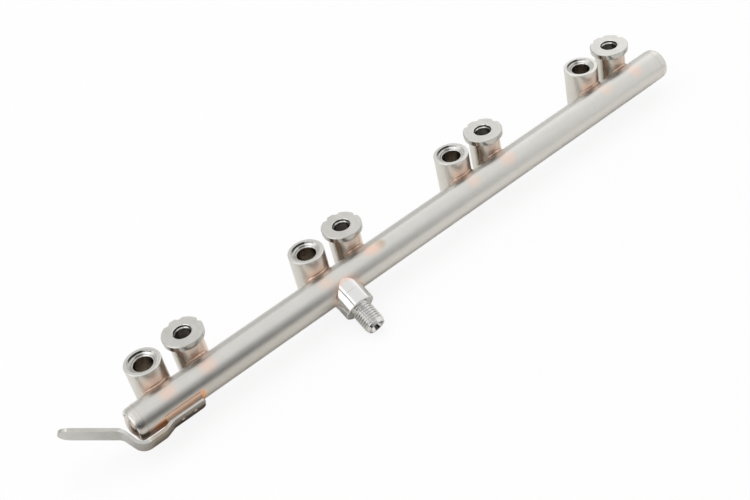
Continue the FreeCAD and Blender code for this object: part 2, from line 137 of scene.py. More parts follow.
# The stay strip in its own frame: from the tube's axis, tilted with it
STRIP_TILT = math.radians(26.0)
STRIP_TOP = 2.8
STRIP_BOTTOM = -6.05
TONGUE_TOP = 3.5
TONGUE_BOTTOM = -7.2
STRIP_WIDENS_X = -17.0
STRIP_FACE = -9.58
TAB_END_X = 12.3
TAB_START_X = -3.6
WELD_DIMPLES_X = (7.2, 0.9)
WELD_DIMPLE_DROP = -2.5
WELD_DIMPLE_R = 1.1

# Where the braze ran from a joint down the front of the tube, copper that also stands as a painted
# reflection of the joints' copper: the place along the rail, the turn up from -Y in degrees, the
# half width, the half turn and how much copper is left there.
# The browned end of the longest run has a place and half sizes of the same kind.
COPPER_RUNS_AND_REFLECTIONS = [
    (0.3, 71, 4.6, 31, 0.53), (20.9, 68, 4.8, 31, 0.53), (85.4, 70, 4.0, 29, 0.44),
    (113.4, 74, 6.0, 25, 0.71), (174.9, 68, 4.0, 27, 0.41), (196.8, 66, 5.0, 30, 0.48),
    (264.9, 70, 3.8, 27, 0.41), (285.5, 66, 4.4, 30, 0.48),
]
BROWNED_END_OF_RUN = (117.6, 74, 3.0, 20)

# Bare steels and what stains them, as metals reflect them, and the colours of painted shade and a
# painted highlight
TUBE_STEEL = (0.70, 0.685, 0.650, 1)
TURNED_STEEL = (0.69, 0.677, 0.64, 1)
PLUG_STEEL = (0.70, 0.68, 0.65, 1)
POLISHED_STEEL = (0.79, 0.785, 0.775, 1)
STRIP_STEEL = (0.56, 0.555, 0.53, 1)
RUBBED_STEEL = (0.86, 0.85, 0.83, 1)
PALE_COPPER = (0.88, 0.66, 0.55, 1)
DEEP_COPPER = (0.98, 0.46, 0.21, 1)
# Copper in the weld dimples, made bright as a painted highlight too
DIMPLE_COPPER_AND_GLINT = (1.0, 0.82, 0.64, 1)
BROWN_TINT = (0.20, 0.145, 0.105, 1)
STRAW_TINT = (0.62, 0.56, 0.47, 1)
# Painted shade: a brown for the bores of the bosses and cups, and a near black mixed in wherever
# else shade is painted
BORE_SHADE_BROWN = (0.42, 0.355, 0.29, 1)
PAINTED_SHADE_DARK = (0.030, 0.026, 0.022, 1)
WHITE = (1.0, 1.0, 1.0, 1.0)

# The seam along the strip, from its edge on the tube down to the strip; the pale pink of its
# hollow is copper with a painted highlight
SEAM_EDGE = (0.72, 0.40, 0.26, 1)
SEAM_HOLLOW_AND_SHEEN = (0.97, 0.76, 0.63, 1)
SEAM_LOWER = (0.90, 0.55, 0.38, 1)
SEAM_FOOT = (0.80, 0.68, 0.60, 1)


# ---------------------------------------------------------------- new pieces

def mesh_from_grid(name, points):
    """A closed mesh from a grid of points whose last row and column join the first.

    The corner at row i and column j is vertex i * columns + j, and each of its faces runs to
    the row and the column after it.
    """
    rows, columns = points.shape[:2]
    i, j = np.meshgrid(np.arange(rows), np.arange(columns), indexing="ij")
    below = (i + 1) % rows
    after = (j + 1) % columns
    quads = np.stack([
        i * columns + j,
        below * columns + j,
        below * columns + after,
        i * columns + after,
    ], axis=-1).reshape(-1, 4)
    mesh = bpy.data.meshes.new(name)
    mesh.from_pydata(points.reshape(-1, 3), [], quads)
    mesh.polygons.foreach_set("use_smooth", np.ones(len(quads), dtype=bool))
    mesh.update()
    piece = bpy.data.objects.new(name, mesh)
    bpy.context.scene.collection.objects.link(piece)
    return piece


def thread_radius(station, turn):
    """Radius of the screw thread: its major radius less a rounded vee once a pitch.

    The vee's depth follows how far the station lies from the helix that climbs one pitch a
    turn, flat for an eighth of the pitch at the crest and rounded at the root. The first
    thread rises from the relief at 45 degrees and the last one fades on the tip's cone.
    """
    phase = np.mod(station / THREAD_PITCH - turn / (2 * np.pi), 1.0)
    from_crest = np.abs(phase - 0.5) * 2
    vee = np.clip((from_crest - THREAD_CREST) / THREAD_FLANK, 0.0, 1.0)
    rounded = vee - THREAD_ROUNDING * np.sin(2 * np.pi * vee)
    lead = THREAD_R - THREAD_LEAD + (station - RELIEF_END)
    tail_slope = (THREAD_R - TIP_R) / (TIP_END - THREAD_END)
    tail = THREAD_R - np.clip(station - THREAD_END, 0, None) * tail_slope
    fade = np.clip((TIP_END - THREAD_RUNOUT - station) / THREAD_RUNOUT, 0.0, 1.0)
    return np.minimum(np.minimum(lead, tail), THREAD_R - THREAD_DEPTH * rounded * fade)


def inlet_piece():
    """The inlet fitting, with its thread cut.

    Each row is a ring about the inlet's axis. Its radius and station follow the turned
    profile; in the thread the radius follows thread_radius; and at the saddle the station is
    that of the tube's surface, the root of the tube's radius squared less the square of the
    ring's reach across the tube.
    """
    turn = np.arange(AROUND) * 2 * np.pi / AROUND
    level = np.ones(AROUND)
    cone_depth = (INLET_CONE_R - INLET_BORE_R) / math.tan(INLET_CONE_SLOPE)
    land_r = COLLAR_R + STEP_RISE
    profile = [
        (land_r, STEP_END - STEP_RISE),
        (COLLAR_R, STEP_END),
        (COLLAR_R, COLLAR_END - COLLAR_EDGE),
        (COLLAR_R - COLLAR_EDGE, COLLAR_END),
        (RELIEF_R + RELIEF_FILLET, COLLAR_END),
        (RELIEF_R, COLLAR_END + RELIEF_FILLET),
        (RELIEF_R, RELIEF_END),
    ]
    mouth = [(INLET_CONE_R, TIP_END), (INLET_BORE_R, TIP_END - cone_depth)]
    thread_rows = int((TIP_END - RELIEF_END) / THREAD_PITCH * ROWS_A_PITCH)
    rows = [
        (level * radius, np.sqrt(TUBE_R ** 2 - (radius * np.sin(turn)) ** 2))
        for radius in np.linspace(INLET_BORE_R, land_r, ROWS_IN_SADDLE)
    ]
    rows += [(level * radius, level * station) for radius, station in profile]
    rows += [
        (thread_radius(station, turn), level * station)
        for station in np.linspace(RELIEF_END, TIP_END, thread_rows + 1)
    ]
    rows += [(level * radius, level * station) for radius, station in mouth]

    radius = np.array([row[0] for row in rows])[..., None]
    station = np.array([row[1] for row in rows])[..., None]
    along = np.array([1.0, 0.0, 0.0])
    across = np.cross(along, INLET_OUT)
    ring = np.cos(turn)[:, None] * along + np.sin(turn)[:, None] * across
    points = INLET_BASE + station * INLET_OUT + radius * ring
    piece = mesh_from_grid("inlet_with_thread", points * MM)
    piece.data.set_sharp_from_angle(angle=SHARP_EDGE)
    return piece


# ---------------------------------------------------------------- nodes

def feed(tree, socket, value):
    """Join a socket to another one, or set it."""
    if isinstance(value, bpy.types.NodeSocket):
        tree.links.new(value, socket)
    else:
        socket.default_value = value


def feed_named(tree, sockets, **values):
    """Feed some sockets by their names, with underscores for spaces."""
    for name, value in values.items():
        feed(tree, sockets[name.replace("_", " ")], value)


def put(tree, kind, inputs=None, **settings):
    """A node with its settings and inputs."""
    made = tree.nodes.new(kind)
    for name, value in settings.items():
        setattr(made, name, value)
    for name, value in (inputs or {}).items():
        feed(tree, made.inputs[name], value)
    return made


def calc(tree, operation, *values):
    """The result of one Math node."""
    made = tree.nodes.new("ShaderNodeMath")
    made.operation = operation
    for socket, value in zip(made.inputs, values):
        feed(tree, socket, value)
    return made.outputs[0]


def in_turn(tree, operation, values):
    """One Math operation carried through some values, from the first to the last."""
    result = values[0]
    for value in values[1:]:
        result = calc(tree, operation, result, value)
    return result


def plus(tree, *values):
    """The sum of some values."""
    return in_turn(tree, "ADD", values)


def times(tree, *values):
    """The product of some values, such as masks that must hold together."""
    return in_turn(tree, "MULTIPLY", values)


def most(tree, *values):
    """The greatest of some values, such as masks of which one must hold."""
    return in_turn(tree, "MAXIMUM", values)


def minus(tree, value, taken):
    """A value less another."""
    return calc(tree, "SUBTRACT", value, taken)


def over(tree, value, divisor):
    """A value divided by another."""
    return calc(tree, "DIVIDE", value, divisor)


def total(tree, *values):
    """The sum of some values, no more than 1."""
    return calc(tree, "MINIMUM", plus(tree, *values), 1.0)


def kept(tree, mask, lost=1.0):
    """What is left of 1 when a mask takes a share of it."""
    return minus(tree, 1.0, times(tree, mask, lost))


def squares(tree, first, second):
    """The sum of two values' squares."""
    return plus(tree, times(tree, first, first), times(tree, second, second))


def blend(tree, first, second, share):
    """A share of the first value and the rest of the second."""
    return plus(tree, times(tree, first, share), times(tree, second, 1.0 - share))


def ease(tree, value, start, end):
    """0 before start and 1 after end, with a smooth change between them."""
    return put(tree, "ShaderNodeMapRange", {0: value, 1: start, 2: end},
               interpolation_type="SMOOTHSTEP").outputs[0]


def tinted(tree, share, low, high):
    """A colour that goes from low to high with the share."""
    return put(tree, "ShaderNodeMix", {0: share, 6: low, 7: high}, data_type="RGBA").outputs[2]


def vector_calc(tree, operation, first, second=None):
    """The results of one Vector Math node on one or two vectors."""
    inputs = {0: first} if second is None else {0: first, 1: second}
    return put(tree, "ShaderNodeVectorMath", inputs, operation=operation).outputs


def scaled(tree, first, factor):
    """A vector or a colour times a number."""
    made = put(tree, "ShaderNodeVectorMath", {0: first}, operation="SCALE")
    feed(tree, made.inputs[3], factor)
    return made.outputs[0]


def parts(tree, place):
    """A place's shares along X, Y and Z."""
    return tuple(put(tree, "ShaderNodeSeparateXYZ", {0: place}).outputs)


def texture(tree, place, detail, rough):
    """Even noise about 0.5, with features about 1 across."""
    return put(tree, "ShaderNodeTexNoise", {
        "Vector": place, "Scale": 1.0, "Detail": detail, "Roughness": rough}).outputs[0]


def noise(tree, place, size, detail=2.0, rough=0.5):
    """Even noise about 0.5, with features of one size."""
    return texture(tree, scaled(tree, place, 1.0 / size), detail, rough)


def long_grain(tree, place, sizes):
    """Noise whose features have a size of their own along X, Y and Z."""
    return texture(tree, vector_calc(tree, "DIVIDE", place, sizes)[0], detail=3.0, rough=0.5)


def new_group(name, inputs, outputs):
    """An empty node group: its tree, the sockets that bring values in and those that take
    them out."""
    tree = bpy.data.node_groups.new(name, "ShaderNodeTree")
    for label, kind, value in inputs:
        socket = tree.interface.new_socket(
            name=label, in_out="INPUT", socket_type="NodeSocket" + kind)
        if value is not None:
            socket.default_value = value
    for label, kind in outputs:
        tree.interface.new_socket(
            name=label, in_out="OUTPUT", socket_type="NodeSocket" + kind)
    come = tree.nodes.new("NodeGroupInput")
    go = tree.nodes.new("NodeGroupOutput")
    return tree, come.outputs, go.inputs


def place_group(tree, group, **inputs):
    """A group in a tree, with its inputs fed by name."""
    made = tree.nodes.new("ShaderNodeGroup")
    made.node_tree = group
    feed_named(tree, made.inputs, **inputs)
    return made.outputs


# ---------------------------------------------------------------- shared effects

def rod_place_group():
    """Place about the nearest upright rod: radius, its shares along +X and +Y, and height."""
    tree, come, go = new_group(
        "rod_place",
        [("Place", "Vector", None), ("Middle X", "Float", 0.0), ("Middle Y", "Float", 0.0)],
        [("Radius", "Float"), ("Side", "Float"), ("Back", "Float"), ("Height", "Float")])
    x, y, z = parts(tree, come["Place"])
    off_x = calc(tree, "WRAP", minus(tree, x, come["Middle X"]), PITCH / 2, -PITCH / 2)
    off_y = minus(tree, y, come["Middle Y"])
    radius = calc(tree, "SQRT", squares(tree, off_x, off_y))
    divisor = most(tree, radius, 0.01)
    feed_named(tree, go, Radius=radius, Side=over(tree, off_x, divisor),
               Back=over(tree, off_y, divisor), Height=z)
    return tree


def tube_distance_group():
    """Distance from the tube's surface, and the turn about its axis in degrees from -Y upwards."""
    tree, come, go = new_group(
        "tube_distance", [("Place", "Vector", None)],
        [("Distance", "Float"), ("Turn", "Float")])
    _, y, z = parts(tree, come["Place"])
    ahead = minus(tree, TUBE_MIDDLE[1], y)
    up = minus(tree, z, TUBE_MIDDLE[2])
    out = calc(tree, "SQRT", squares(tree, ahead, up))
    feed_named(tree, go, Distance=minus(tree, out, TUBE_R),
               Turn=calc(tree, "DEGREES", calc(tree, "ARCTAN2", up, ahead)))
    return tree


def inlet_place_group():
    """Place about the inlet's axis: how far out along it, radius, its share along +X, and the
    height over the axis's level."""
    tree, come, go = new_group(
        "inlet_place", [("Place", "Vector", None)],
        [("Along", "Float"), ("Radius", "Float"), ("Side", "Float"), ("Level", "Float")])
    off = vector_calc(tree, "SUBTRACT", come["Place"], tuple(map(float, INLET_BASE)))[0]
    along = vector_calc(tree, "DOT_PRODUCT", off, tuple(map(float, INLET_OUT)))[1]
    reach = vector_calc(tree, "LENGTH", off)[1]
    radius = calc(tree, "SQRT", most(tree, minus(
        tree, times(tree, reach, reach), times(tree, along, along)), 0.0))
    x, _, z = parts(tree, off)
    feed_named(tree, go, Along=along, Radius=radius,
               Side=over(tree, x, most(tree, radius, 0.01)),
               Level=plus(tree, z, times(tree, along, math.sin(INLET_DROOP))))
    return tree


def turned_lines_group():
    """The fine lines a lathe tool leaves: noise that changes fast along the radius and the
    height and slowly round the axis."""
    tree, come, go = new_group(
        "turned_lines",
        [("Radius", "Float", 1.0), ("Height", "Float", 0.0), ("Side", "Float", 0.0),
         ("Spacing", "Float", 0.3)],
        [("Lines", "Float")])
    place = put(tree, "ShaderNodeCombineXYZ", {
        0: over(tree, come["Radius"], come["Spacing"]),
        1: over(tree, come["Height"], come["Spacing"]),
        2: times(tree, come["Side"], 0.8)}).outputs[0]
    feed(tree, go["Lines"], texture(tree, place, detail=3.0, rough=0.6))
    return tree


def copper_wash_group():
    """Copper drawn out of a joint: full at the joint, ragged, and gone at its reach."""
    tree, come, go = new_group(
        "copper_wash",
        [("Place", "Vector", None), ("Distance", "Float", 0.0), ("Reach", "Float", 3.0),
         ("Ragged", "Float", 1.0)],
        [("Wash", "Float")])
    patch = minus(tree, noise(tree, come["Place"], 3.2, detail=3.0, rough=0.6), 0.5)
    drawn = times(tree, patch, come["Ragged"], 4.0)
    far = over(tree, plus(tree, come["Distance"], drawn), come["Reach"])
    feed(tree, go["Wash"], ease(tree, far, 1.0, 0.05))
    return tree


def edge_line_group():
    """1 where a value is at an edge, 0 a width away from it."""
    tree, come, go = new_group(
        "edge_line",
        [("Value", "Float", 0.0), ("At", "Float", 0.0), ("Width", "Float", 0.2)],
        [("Line", "Float")])
    away = calc(tree, "ABSOLUTE", minus(tree, come["Value"], come["At"]))
    feed(tree, go["Line"], ease(tree, over(tree, away, come["Width"]), 1.0, 0.3))
    return tree


def worn_steel_group():
    """A steel's colour and roughness with its mottling, worn edges, heat tint and copper.

    The mottling is two sizes of noise. Worn edges are brighter and smoother, heat turns the
    steel straw and then brown, and copper goes from pale pink where it is thin to deep where
    it is thick.
    """
    tree, come, go = new_group(
        "worn_steel",
        [("Place", "Vector", None), ("Steel", "Color", TUBE_STEEL),
         ("Roughness", "Float", 0.3), ("Grain", "Float", 0.5), ("Mottle", "Float", 0.1),
         ("Worn", "Float", 0.0), ("Heat", "Float", 0.0), ("Copper", "Float", 0.0)],
        [("Color", "Color"), ("Roughness", "Float"), ("Speckle", "Float")])
    cloud = noise(tree, come["Place"], 6.0, detail=4.0, rough=0.55)
    fleck = noise(tree, come["Place"], 0.45)
    speckle = blend(tree, cloud, fleck, 0.6)
    off = minus(tree, blend(tree, speckle, come["Grain"], 0.5), 0.5)
    level = plus(tree, 1.0, times(tree, off, 4.0, come["Mottle"]))
    mottled = scaled(tree, come["Steel"], level)
    rubbed = tinted(tree, times(tree, come["Worn"], 0.55), mottled, RUBBED_STEEL)
    straw = tinted(tree, ease(tree, come["Heat"], 0.0, 0.5), rubbed, STRAW_TINT)
    brown = tinted(tree, ease(tree, come["Heat"], 0.35, 1.0), straw, BROWN_TINT)
    thick = ease(tree, plus(tree, come["Copper"], off), 0.45, 1.1)
    copper = tinted(tree, thick, PALE_COPPER, DEEP_COPPER)
    covered = calc(tree, "MINIMUM", times(tree, come["Copper"], 1.6), 1.0)
    rough = plus(tree, come["Roughness"], times(tree, off, 0.22),
                 times(tree, come["Worn"], -0.08), times(tree, come["Heat"], 0.06))
    feed_named(tree, go, Color=tinted(tree, covered, brown, copper),
               Roughness=most(tree, rough, 0.05), Speckle=speckle)
    return tree


ROD_PLACE = rod_place_group()
TUBE_DISTANCE = tube_distance_group()
INLET_PLACE = inlet_place_group()
TURNED_LINES = turned_lines_group()
COPPER_WASH = copper_wash_group()
EDGE_LINE = edge_line_group()
WORN_STEEL = worn_steel_group()


def edge_line(tree, value, at, width):
    """The edge line group's mask."""
    return place_group(tree, EDGE_LINE, Value=value, At=at, Width=width)["Line"]


def lathe_lines(tree, radius, height, side, spacing):
    """The turned lines group's noise."""
    return place_group(tree, TURNED_LINES, Radius=radius, Height=height, Side=side,
                       Spacing=spacing)["Lines"]


def joint_wash(tree, place, reach, ragged):
    """Copper drawn over a piece from its joint with the tube."""
    about = place_group(tree, TUBE_DISTANCE, Place=place)
    return place_group(tree, COPPER_WASH, Place=place, Distance=about["Distance"],
                       Reach=reach, Ragged=ragged)["Wash"]


def toward(tree, rod, degrees):
    """How far a place on a rod lies toward a heading: 1 there, down to -1 on the other side."""
    heading = math.radians(degrees)
    return plus(tree, times(tree, rod["Side"], math.cos(heading)),
                times(tree, rod["Back"], math.sin(heading)))


# ---------------------------------------------------------------- finishes

def new_finish(name):
    """A metal material: its tree, its shader and the place on the object in millimetres."""
    material = bpy.data.materials.new(name)
    material.use_nodes = True
    tree = material.node_tree
    shader = tree.nodes["Principled BSDF"]
    shader.inputs["Metallic"].default_value = 1.0
    where = tree.nodes.new("ShaderNodeTexCoord").outputs["Object"]
    return material, tree, shader.inputs, scaled(tree, where, 1 / MM)


def bump(tree, shader, height, depth, strength=1.0):
    """Relief on the surface, where a height of 1 stands out by the depth, in metres."""
    made = put(tree, "ShaderNodeBump", {
        "Height": height, "Strength": strength, "Distance": depth})
    feed(tree, shader["Normal"], made.outputs[0])


def oval(tree, x, turn, spot):
    """0 in the middle of an oval on the tube, 1 on its outline and more outside."""
    middle_x, middle_turn, half_width, half_turn = spot
    return squares(tree, over(tree, minus(tree, x, middle_x), half_width),
                   over(tree, minus(tree, turn, middle_turn), half_turn))


def run_copper_and_reflection(tree, x, turn, ragged):
    """Copper left where the braze ran down the front of the tube, partly a painted reflection of
    the joints' copper.
    """
    copper = 0.0
    for *spot, left in COPPER_RUNS_AND_REFLECTIONS:
        out = plus(tree, oval(tree, x, turn, spot), times(tree, ragged, 0.9))
        copper = plus(tree, copper, times(tree, ease(tree, out, 1.5, -0.5), left))
    return copper


def inlet_halo(tree, place):
    """Copper drawn out of the inlet's joint, on the side of the tube that it stands on."""
    about = place_group(tree, INLET_PLACE, Place=place)
    halo = place_group(tree, COPPER_WASH, Place=place, Reach=3.6, Ragged=0.7,
                       Distance=minus(tree, about["Radius"], COLLAR_R))["Wash"]
    return times(tree, halo, ease(tree, about["Along"], 0.0, 3.0))


def behind_strip(tree, x, turn, ragged):
    """The part of the tube behind the strip, below a ragged line that climbs to the tube's end."""
    climb = plus(tree, turn, times(tree, ragged, 9.0))
    climb = minus(tree, climb, times(tree, calc(tree, "MINIMUM", x, 0.0), 0.9))
    return times(tree, ease(tree, x, TAB_END_X + 3.7, TAB_END_X + 0.2),
                 ease(tree, climb, 17.0, 10.0), ease(tree, turn, -95.0, -70.0))


def tube_finish():
    """Satin drawn tube: pink copper runs below the joints, partly a painted reflection of the
    joints' copper, and round the inlet, deep copper behind the strip, a brown end to the longest
    run and a tinted line at each plug."""
    material, tree, shader, place = new_finish("satin_tube_steel")
    x, _, _ = parts(tree, place)
    turn = place_group(tree, TUBE_DISTANCE, Place=place)["Turn"]
    ragged = minus(tree, noise(tree, place, 2.2, detail=3.0, rough=0.6), 0.5)
    behind = behind_strip(tree, x, turn, ragged)
    thick = times(tree, behind, plus(tree, 0.98, times(tree, ragged, 1.3)))
    # The runs below the joints are partly a painted reflection of the joints' copper
    copper = total(tree, run_copper_and_reflection(tree, x, turn, ragged),
                   times(tree, inlet_halo(tree, place), 0.34), most(tree, thick, 0.0))

    left_end = ease(tree, x, TUBE_NEAR_X + 5.4, TUBE_NEAR_X + 0.4)
    browned = ease(tree, oval(tree, x, turn, BROWNED_END_OF_RUN), 1.5, -0.1)
    copper = times(tree, copper, kept(tree, left_end, lost=0.5), kept(tree, browned, lost=0.35))
    heat = total(tree, times(tree, left_end, behind, 0.6), times(tree, browned, 0.58))
    for end_x in (TUBE_NEAR_X, TUBE_FAR_X):
        heat = most(tree, heat, times(tree, edge_line(tree, x, end_x, width=0.45), 0.3))

    drawn = long_grain(tree, place, (3.0, 0.4, 0.4))
    steel = place_group(tree, WORN_STEEL, Place=place, Steel=TUBE_STEEL, Roughness=0.36,
                        Grain=drawn, Mottle=0.085, Heat=heat, Copper=copper)
    feed_named(tree, shader, Base_Color=steel["Color"], Roughness=steel["Roughness"],
               Metallic=kept(tree, behind, lost=0.18))
    bump(tree, shader, plus(tree, steel["Speckle"], drawn), depth=0.00002, strength=0.2)
    return material


def boss_finish():
    """Turned boss: a worn rim, a bore darkened brown as painted shade and copper on the side by
    the tube. Its recess has turned steps on the far side, painted shade there, lighter painted
    shade towards -X and a painted highlight in one narrow band."""
    material, tree, shader, place = new_finish("turned_boss_steel")
    rod = place_group(tree, ROD_PLACE, Place=place, Middle_X=BOSS_MIDDLE[0],
                      Middle_Y=BOSS_MIDDLE[1])
    radius, height = rod["Radius"], rod["Height"]
    lines = lathe_lines(tree, radius, height, rod["Side"], spacing=0.28)
    wash = joint_wash(tree, place, reach=9.5, ragged=0.35)
    copper = times(tree, wash, ease(tree, radius, BOSS_R - 0.7, BOSS_R - 0.3),
                   ease(tree, toward(tree, rod, BOSS_COPPER_SIDE), 0.1, 0.65))
    worn = times(tree, edge_line(tree, radius, BOSS_R - 0.25, width=0.35),
                 ease(tree, height, BOSS_TOP - 0.7, BOSS_TOP - 0.2))
    in_bore = times(tree, ease(tree, radius, BOLT_HOLE_R + 0.35, BOLT_HOLE_R + 0.05),
                    ease(tree, height, BOSS_TOP - 1.3, BOSS_TOP - 2.6))
    in_recess = times(tree, ease(tree, radius, RECESS_R + 0.2, RECESS_R - 0.1),
                      ease(tree, height, BOSS_TOP - 1.9, BOSS_TOP - 1.5))
    # Painted shade on the recess's far side and, lighter, towards -X, and a painted highlight in
    # one narrow band
    far_side = toward(tree, rod, RECESS_FAR_SIDE)
    stepped = ease(tree, far_side, 0.2, 0.8)
    painted_far_shade = times(tree, in_recess, ease(tree, radius, RECESS_LAND_R, RECESS_LAND_R + 0.5),
                   ease(tree, far_side, 0.45, 0.85))
    painted_side_shade = times(tree, in_recess, ease(tree, toward(tree, rod, RECESS_PAINTED_SHADE_SIDE), -0.6, 0.3))
    painted_glint = times(tree, in_recess, ease(tree, toward(tree, rod, RECESS_PAINTED_GLINT_SIDE), 0.93, 0.98))

    rough = plus(tree, 0.24, times(tree, in_recess, -0.10),
                 times(tree, in_recess, kept(tree, stepped), 0.28))
    steel = place_group(tree, WORN_STEEL, Place=place, Steel=TURNED_STEEL, Roughness=rough,
                        Grain=lines, Mottle=0.09, Worn=worn, Heat=times(tree, wash, 0.12),
                        Copper=times(tree, copper, 0.62))
    # Painted shade: brown in the bore, near black in the recess; then white for the painted
    # highlight
    colour = tinted(tree, times(tree, in_bore, 0.6), steel["Color"], BORE_SHADE_BROWN)
    painted_unlit = most(tree, times(tree, painted_far_shade, 0.78), times(tree, painted_side_shade, 0.18))
    colour = tinted(tree, painted_unlit, colour, PAINTED_SHADE_DARK)
    feed_named(tree, shader, Base_Color=tinted(tree, painted_glint, colour, WHITE),
               Roughness=plus(tree, steel["Roughness"], times(tree, painted_glint, 0.25)))

    upper_step = ease(tree, radius, RECESS_LAND_R + 0.25, RECESS_LAND_R + 0.95)
    lower_step = ease(tree, radius, BOLT_HOLE_R + 0.3, BOLT_HOLE_R + 0.75)
    steps = times(tree, plus(tree, times(tree, upper_step, 0.5), times(tree, lower_step, 0.3)),
                  in_recess, plus(tree, 0.1, times(tree, stepped, 0.9)))
    bump(tree, shader, plus(tree, steps, times(tree, lines, 0.012)), depth=MM)
    return material


def cup_finish():
    """Injector cup: a matte turned top with a bright mouth, a smoother flange side, copper on
    the stem's side by the tube, a bore darkened brown as painted shade, painted shade on the seat
    but for one lit side, and a thin line of painted shade along the brim."""
    material, tree, shader, place = new_finish("turned_cup_steel")
    rod = place_group(tree, ROD_PLACE, Place=place, Middle_X=CUP_MIDDLE[0],
                      Middle_Y=CUP_MIDDLE[1])
    radius, height = rod["Radius"], rod["Height"]
    lines = lathe_lines(tree, radius, height, rod["Side"], spacing=0.24)
    wash = joint_wash(tree, place, reach=10.0, ragged=0.35)
    stem = times(tree, ease(tree, radius, 6.6, 7.0),
                 ease(tree, height, FLANGE_BOTTOM + 0.4, FLANGE_BOTTOM - 0.4))
    copper = times(tree, wash, stem, ease(tree, toward(tree, rod, CUP_COPPER_SIDE), 0.1, 0.65))
    at_top = ease(tree, height, CUP_TOP - 0.6, CUP_TOP - 0.1)
    worn = times(tree, edge_line(tree, radius, CUP_MOUTH_R + 0.12, width=0.32), at_top)
    top_face = times(tree, at_top, ease(tree, radius, CUP_MOUTH_R + 0.1, CUP_MOUTH_R + 0.4))
    notch_floor_r = FLANGE_R - NOTCH_DEPTH
    flange_side = times(tree, kept(tree, at_top),
                        ease(tree, radius, notch_floor_r - 0.05, notch_floor_r + 0.35),
                        ease(tree, height, FLANGE_BOTTOM - 0.2, FLANGE_BOTTOM + 0.1))
    in_bore = times(tree, ease(tree, radius, CUP_MOUTH_R + 0.3, CUP_MOUTH_R - 0.1),
                    ease(tree, height, CUP_TOP - 1.0, CUP_TOP - 5.0))
    seat = times(tree, ease(tree, radius, CUP_MOUTH_R + 0.25, CUP_MOUTH_R + 0.05),
                 ease(tree, radius, CUP_WELL_R + 0.1, CUP_WELL_R + 0.5),
                 ease(tree, height, CUP_TOP - 0.1, CUP_TOP - 0.35))
    # Painted shade on the seat, all round but for one lit side
    painted_unlit = times(tree, seat, ease(tree, toward(tree, rod, SEAT_PAINTED_LIT_SIDE), 0.9, 0.65))
    brim = edge_line(tree, radius, FLANGE_R, width=0.3)

    rough = plus(tree, 0.22, times(tree, top_face, 0.14), times(tree, flange_side, -0.09))
    steel = place_group(tree, WORN_STEEL, Place=place, Steel=TURNED_STEEL, Roughness=rough,
                        Grain=lines, Mottle=plus(tree, 0.06, times(tree, top_face, 0.16)),
                        Worn=worn, Heat=times(tree, stem, 0.12),
                        Copper=times(tree, copper, 0.52))
    # Painted shade: brown in the bore, near black on the seat and along the brim
    colour = tinted(tree, times(tree, in_bore, 0.85), steel["Color"], BORE_SHADE_BROWN)
    colour = tinted(tree, most(tree, times(tree, painted_unlit, 0.8), times(tree, brim, 0.22)),
                    colour, PAINTED_SHADE_DARK)
    feed_named(tree, shader, Base_Color=colour, Roughness=steel["Roughness"],
               Metallic=kept(tree, in_bore, lost=0.6))
    bump(tree, shader, lines, depth=0.00002, strength=0.3)
    return material


def plug_finish():
    """End plug: a turned head with a bright rim, its end with pink copper above and painted shade
    in brown below, and brown under the near head, by the strip."""
    material, tree, shader, place = new_finish("turned_plug_steel")
    x, _, _ = parts(tree, place)
    about = place_group(tree, TUBE_DISTANCE, Place=place)
    turn = about["Turn"]
    radius = plus(tree, about["Distance"], TUBE_R)
    side = calc(tree, "COSINE", calc(tree, "RADIANS", turn))
    lines = lathe_lines(tree, radius, x, side, spacing=0.3)
    on_end = ease(tree, radius, TUBE_R - 1.0, TUBE_R - 1.5)
    patch = noise(tree, place, 4.0, detail=3.0, rough=0.6)
    copper = times(tree, on_end, ease(tree, patch, 0.25, 0.75))
    near_plug = ease(tree, x, 100.0, 50.0)
    under = times(tree, ease(tree, turn, 8.0, -14.0), near_plug)
    # Brown low on the end is painted shade
    low_on_end = times(tree, on_end, ease(tree, turn, 20.0, -60.0))
    heat = most(tree, times(tree, low_on_end, 0.55), times(tree, under, 0.7))
    steel = place_group(tree, WORN_STEEL, Place=place, Steel=PLUG_STEEL, Roughness=0.27,
                        Grain=lines, Mottle=0.07, Heat=heat, Copper=times(tree, copper, 0.42),
                        Worn=edge_line(tree, radius, TUBE_R - 1.05, width=0.4))
    feed_named(tree, shader, Base_Color=steel["Color"], Roughness=steel["Roughness"])
    bump(tree, shader, lines, depth=0.00003, strength=0.5)
    return material


